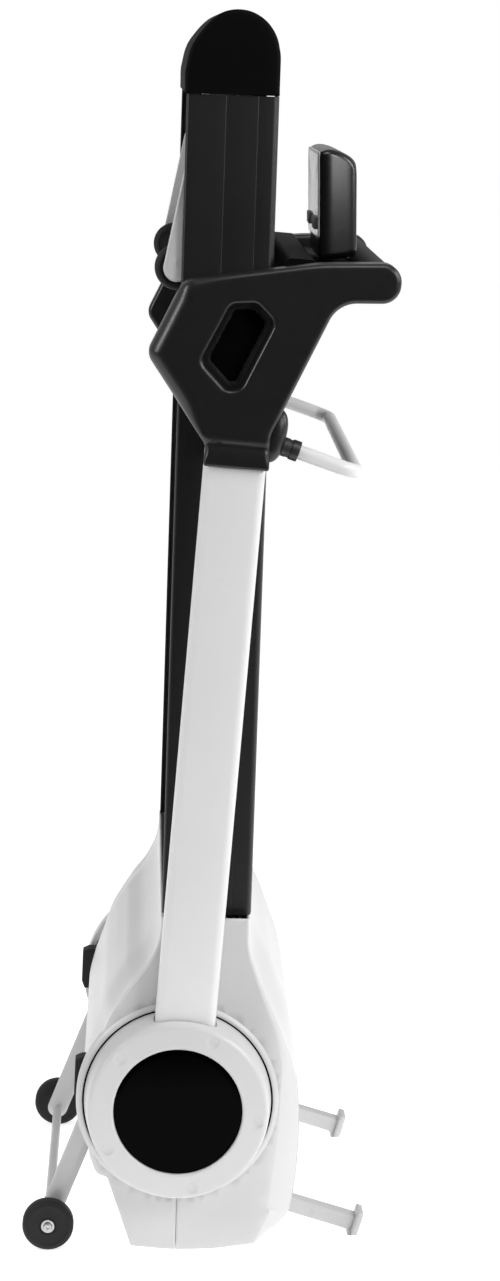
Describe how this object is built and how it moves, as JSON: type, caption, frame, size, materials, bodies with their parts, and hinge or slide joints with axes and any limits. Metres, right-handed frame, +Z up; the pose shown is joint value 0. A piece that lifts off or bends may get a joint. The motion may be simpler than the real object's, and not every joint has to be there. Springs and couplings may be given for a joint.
{
  "type": "folding treadmill",
  "caption": "Folding treadmill stood up on its nose for storage: belted deck, white motor hood, side uprights with moulded handles, tilting console, wheels and slide-out feet.",
  "frame": {"origin": "centre of the bounding box's foot, on the floor", "axes": "+Z up along the stood-up deck, +X towards the running side of the deck, Y across its width"},
  "size_m": [0.4826, 0.745, 1.6001],
  "materials": {
    "arm_left": "semi-gloss white powder coat",
    "arm_right": "semi-gloss white powder coat",
    "frame_side_left": "semi-gloss white powder coat",
    "frame_side_right": "semi-gloss white powder coat",
    "cross_member_mid": "semi-gloss white powder coat",
    "cross_member_rear": "semi-gloss white powder coat",
    "motor_plate": "semi-gloss white powder coat",
    "foot_left": "semi-gloss white powder coat",
    "foot_right": "semi-gloss white powder coat",
    "guard_bar": "semi-gloss white powder coat",
    "leg_left": "semi-gloss light grey powder coat",
    "leg_right": "semi-gloss light grey powder coat",
    "wheel_brace": "semi-gloss light grey powder coat",
    "lever_left": "semi-gloss light grey powder coat",
    "lever_right": "semi-gloss light grey powder coat",
    "lever_shaft": "semi-gloss light grey powder coat",
    "hood_top": "satin white moulding",
    "hood_pan": "satin white moulding",
    "ring_cover_left": "satin white moulding",
    "ring_cover_right": "satin white moulding",
    "rail_left": "dark anodised extrusion",
    "rail_right": "dark anodised extrusion",
    "front_roller": "turned",
    "rear_roller": "turned",
    "motor": "painted",
    "motor_pulley": "zinc plated",
    "fold_shaft": "zinc plated",
    "foot_sleeve_left": "zinc plated",
    "foot_sleeve_right": "zinc plated",
    "wheel_bolt_left": "zinc plated",
    "wheel_bolt_right": "zinc plated",
    "controller": "plain cast box",
    "deck_board": "waxed board",
    "running_belt": "woven black",
    "drive_belt": "woven black",
    "floor_pad_left": "soft black",
    "floor_pad_right": "soft black",
    "front_wheel_left": "soft black",
    "front_wheel_right": "soft black",
    "rear_wheel_left": "soft black",
    "rear_wheel_right": "soft black",
    "grip_bar": "soft black",
    "rear_end_cap": "soft-touch black",
    "handle_left": "soft-touch black",
    "handle_right": "soft-touch black",
    "console_bridge": "soft-touch black",
    "bar_collar_left": "soft-touch black",
    "bar_collar_right": "soft-touch black",
    "power_inlet": "soft-touch black",
    "hub_cap_left": "polished black",
    "hub_cap_right": "polished black",
    "console_back": "polished black",
    "display_lens": "polished black",
    "console_face": "light grey",
    "start_button": "green",
    "stop_button": "red",
    "safety_key": "red",
    "power_rocker": "red",
    "slower_button": "black",
    "faster_button": "black"
  },
  "bodies": {
    "deck": {"rail_left": "rail_left", "rail_right": "rail_right", "frame_side_left": "frame_side_left", "frame_side_right": "frame_side_right", "cross_member_mid": "cross_member_mid", "cross_member_rear": "cross_member_rear", "motor_plate": "motor_plate", "deck_board": "deck_board", "running_belt": "running_belt", "rear_end_cap": "rear_end_cap", "motor": "motor", "drive_belt": "drive_belt", "controller": "controller", "fold_shaft": "fold_shaft", "hood_top": "hood_top", "hood_pan": "hood_pan", "foot_sleeve_left": "foot_sleeve_left", "foot_sleeve_right": "foot_sleeve_right", "leg_left": "leg_left", "leg_right": "leg_right", "wheel_brace": "wheel_brace", "wheel_bolt_left": "wheel_bolt_left", "wheel_bolt_right": "wheel_bolt_right", "floor_pad_left": "floor_pad_left", "floor_pad_right": "floor_pad_right", "power_inlet": "power_inlet"},
    "uprights": {"arm_left": "arm_left", "arm_right": "arm_right", "ring_cover_left": "ring_cover_left", "ring_cover_right": "ring_cover_right", "hub_cap_left": "hub_cap_left", "hub_cap_right": "hub_cap_right", "handle_left": "handle_left", "handle_right": "handle_right", "bar_collar_left": "bar_collar_left", "bar_collar_right": "bar_collar_right", "guard_bar": "guard_bar", "grip_bar": "grip_bar", "console_bridge": "console_bridge"},
    "console": {"console_back": "console_back", "console_face": "console_face", "display_lens": "display_lens"},
    "lever": {"lever_left": "lever_left", "lever_right": "lever_right", "lever_shaft": "lever_shaft"},
    "front_roller": {"front_roller": "front_roller"},
    "rear_roller": {"rear_roller": "rear_roller"},
    "motor_pulley": {"motor_pulley": "motor_pulley"},
    "power_rocker": {"power_rocker": "power_rocker"},
    "foot_left": {"foot_left": "foot_left"},
    "foot_right": {"foot_right": "foot_right"},
    "front_wheel_left": {"front_wheel_left": "front_wheel_left"},
    "front_wheel_right": {"front_wheel_right": "front_wheel_right"},
    "rear_wheel_left": {"rear_wheel_left": "rear_wheel_left"},
    "rear_wheel_right": {"rear_wheel_right": "rear_wheel_right"},
    "start_button": {"start_button": "start_button"},
    "slower_button": {"slower_button": "slower_button"},
    "faster_button": {"faster_button": "faster_button"},
    "stop_button": {"stop_button": "stop_button"},
    "safety_key": {"safety_key": "safety_key"}
  },
  "joints": [
    {"name": "uprights_fold", "type": "hinge", "parent": "deck", "child": "uprights", "pos_m": [-0.038, 0, 0.2142], "axis": [0, 1, 0], "range_deg": [0, 82]},
    {"name": "console_tilt", "type": "hinge", "parent": "uprights", "child": "console", "pos_m": [0.17428, 0, 1.30023], "axis": [0, 1, 0], "range_deg": [-12, 12]},
    {"name": "front_roller_spin", "type": "hinge", "parent": "deck", "child": "front_roller", "pos_m": [0.01681, 0, 0.40745], "axis": [0, 1, 0], "continuous": true},
    {"name": "rear_roller_spin", "type": "hinge", "parent": "deck", "child": "rear_roller", "pos_m": [0.05441, 0, 1.51181], "axis": [0, 1, 0], "continuous": true},
    {"name": "motor_spin", "type": "hinge", "parent": "deck", "child": "motor_pulley", "pos_m": [0.00925, 0, 0.13254], "axis": [0, 1, 0], "continuous": true},
    {"name": "lever_swing", "type": "hinge", "parent": "deck", "child": "lever", "pos_m": [-0.00615, 0, 1.42882], "axis": [0, 1, 0], "range_deg": [0, 60]},
    {"name": "mains_rocker", "type": "hinge", "parent": "deck", "child": "power_rocker", "pos_m": [-0.1092, 0.1455, 0.05708], "axis": [0, 1, 0], "range_deg": [-7, 7]},
    {"name": "front_wheel_spin_left", "type": "hinge", "parent": "deck", "child": "front_wheel_left", "pos_m": [-0.208, -0.2705, 0.0335], "axis": [0, 1, 0], "continuous": true},
    {"name": "rear_wheel_spin_left", "type": "hinge", "parent": "lever", "child": "rear_wheel_left", "pos_m": [-0.03416, -0.26775, 1.28219], "axis": [0, 1, 0], "continuous": true},
    {"name": "foot_slide_left", "type": "slide", "parent": "deck", "child": "foot_left", "axis": [0.9527, 0, -0.304], "range_m": [-0.075, 0]},
    {"name": "front_wheel_spin_right", "type": "hinge", "parent": "deck", "child": "front_wheel_right", "pos_m": [-0.208, 0.2705, 0.0335], "axis": [0, 1, 0], "continuous": true},
    {"name": "rear_wheel_spin_right", "type": "hinge", "parent": "lever", "child": "rear_wheel_right", "pos_m": [-0.03416, 0.26775, 1.28219], "axis": [0, 1, 0], "continuous": true},
    {"name": "foot_slide_right", "type": "slide", "parent": "deck", "child": "foot_right", "axis": [0.9527, 0, -0.304], "range_m": [-0.075, 0]},
    {"name": "start_press", "type": "slide", "parent": "console", "child": "start_button", "axis": [1, 0, 0], "range_m": [0, 0.003], "stiffness_N_per_m": 400, "springref_m": -0.002},
    {"name": "slower_press", "type": "slide", "parent": "console", "child": "slower_button", "axis": [1, 0, 0], "range_m": [0, 0.003], "stiffness_N_per_m": 400, "springref_m": -0.002},
    {"name": "faster_press", "type": "slide", "parent": "console", "child": "faster_button", "axis": [1, 0, 0], "range_m": [0, 0.003], "stiffness_N_per_m": 400, "springref_m": -0.002},
    {"name": "stop_press", "type": "slide", "parent": "console", "child": "stop_button", "axis": [1, 0, 0], "range_m": [0, 0.003], "stiffness_N_per_m": 400, "springref_m": -0.002},
    {"name": "safety_key_pull", "type": "slide", "parent": "console", "child": "safety_key", "axis": [-1, 0, 0], "range_m": [0, 0.022]}
  ],
  "couplings": [
    {"joint": "rear_roller_spin", "follows": "front_roller_spin", "ratio": 1},
    {"joint": "motor_spin", "follows": "front_roller_spin", "ratio": 2.3333}
  ]
}
